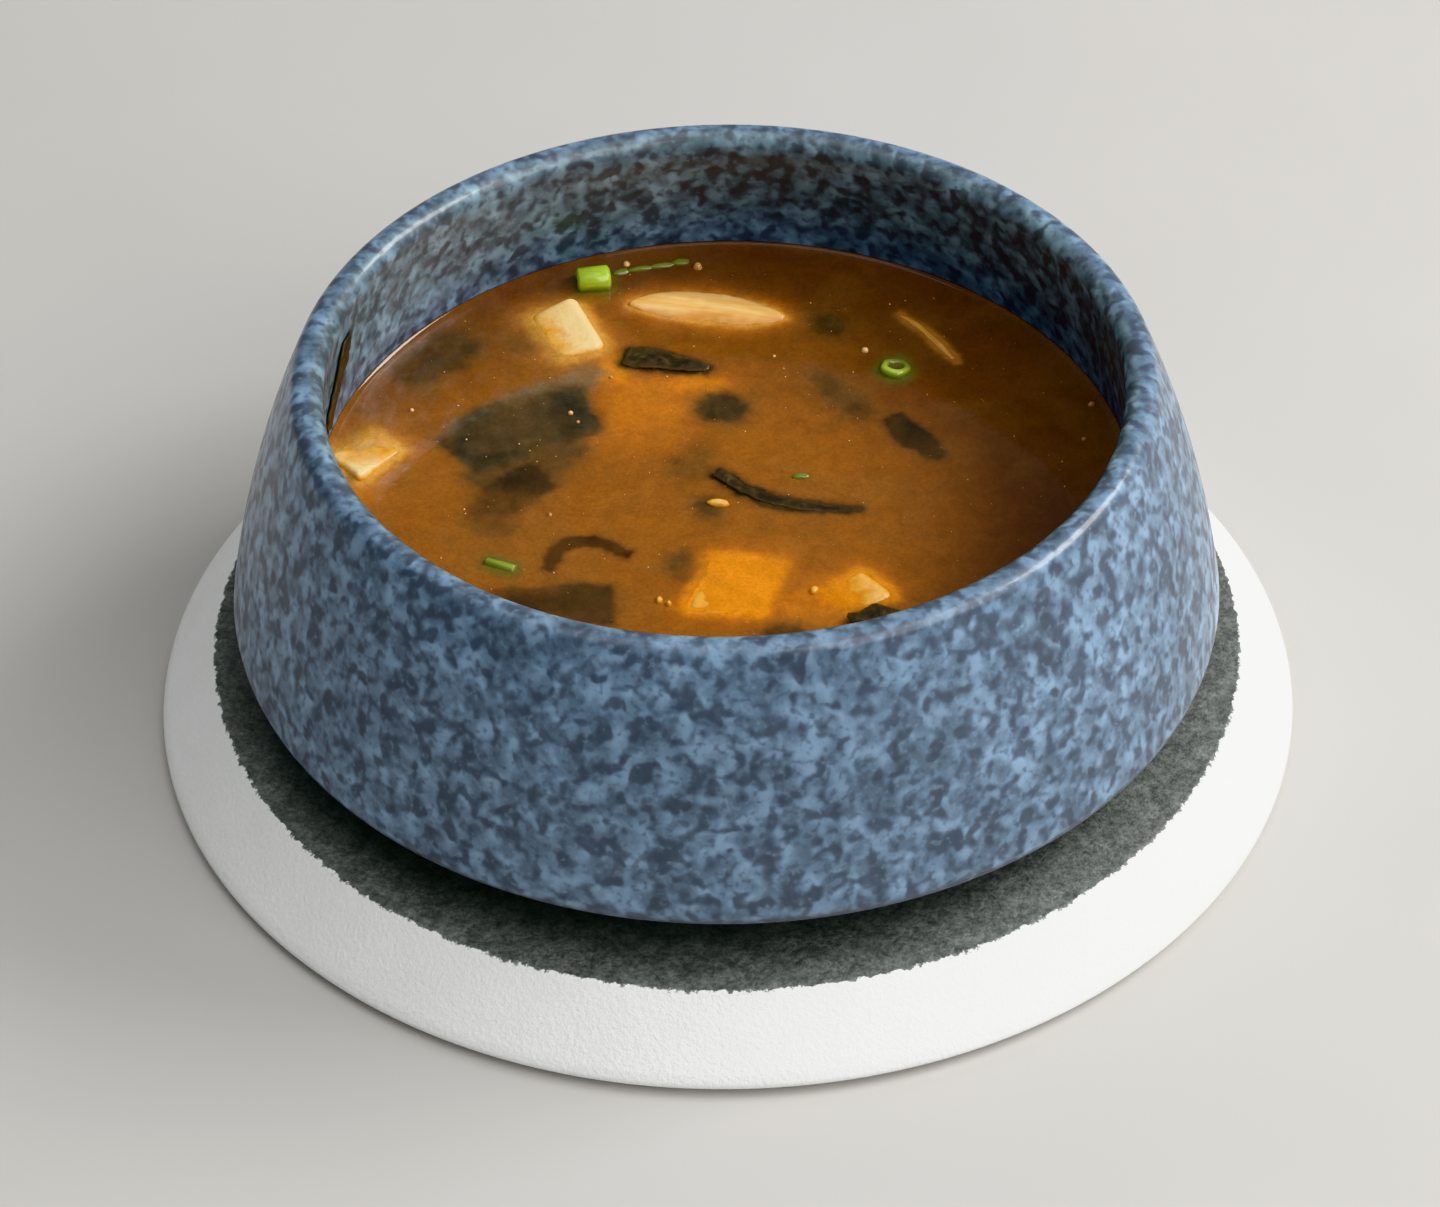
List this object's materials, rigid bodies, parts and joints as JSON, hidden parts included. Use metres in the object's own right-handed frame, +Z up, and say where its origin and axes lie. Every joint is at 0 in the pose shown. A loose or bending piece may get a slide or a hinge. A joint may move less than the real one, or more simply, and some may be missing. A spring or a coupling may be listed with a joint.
{
  "type": "bowl of miso soup",
  "caption": "Thick speckled stoneware bowl of miso soup with tofu, mushroom, wakame and scallion, standing on its round saucer.",
  "frame": {"origin": "centre of the saucer's foot, on the surface it stands on", "axes": "+Z up along the common axis of saucer and bowl; -Y is the side looked at from; +X to the right"},
  "size_m": [0.1752, 0.1752, 0.0625],
  "materials": {
    "bowl_glaze": "satin",
    "saucer_stoneware": "matte",
    "broth": "gloss",
    "tofu": "satin",
    "mushroom": "satin",
    "wakame": "gloss",
    "scallion": "gloss"
  },
  "bodies": {
    "root": {"bowl": "bowl_glaze", "mushroom_slice": "mushroom", "mushroom_thread": "mushroom", "saucer": "saucer_stoneware", "scallion_chunk": "scallion", "scallion_ring": "scallion", "scallion_sliver": "scallion", "soup": "broth", "tofu_back": "tofu", "tofu_front": "tofu", "tofu_left": "tofu", "tofu_right": "tofu", "wakame_arc": "wakame", "wakame_back": "wakame", "wakame_front": "wakame", "wakame_large": "wakame", "wakame_lower": "wakame", "wakame_right": "wakame", "wakame_small": "wakame", "wakame_strip": "wakame", "wakame_tofu": "wakame", "wakame_wall_strand": "wakame"}
  },
  "joints": []
}
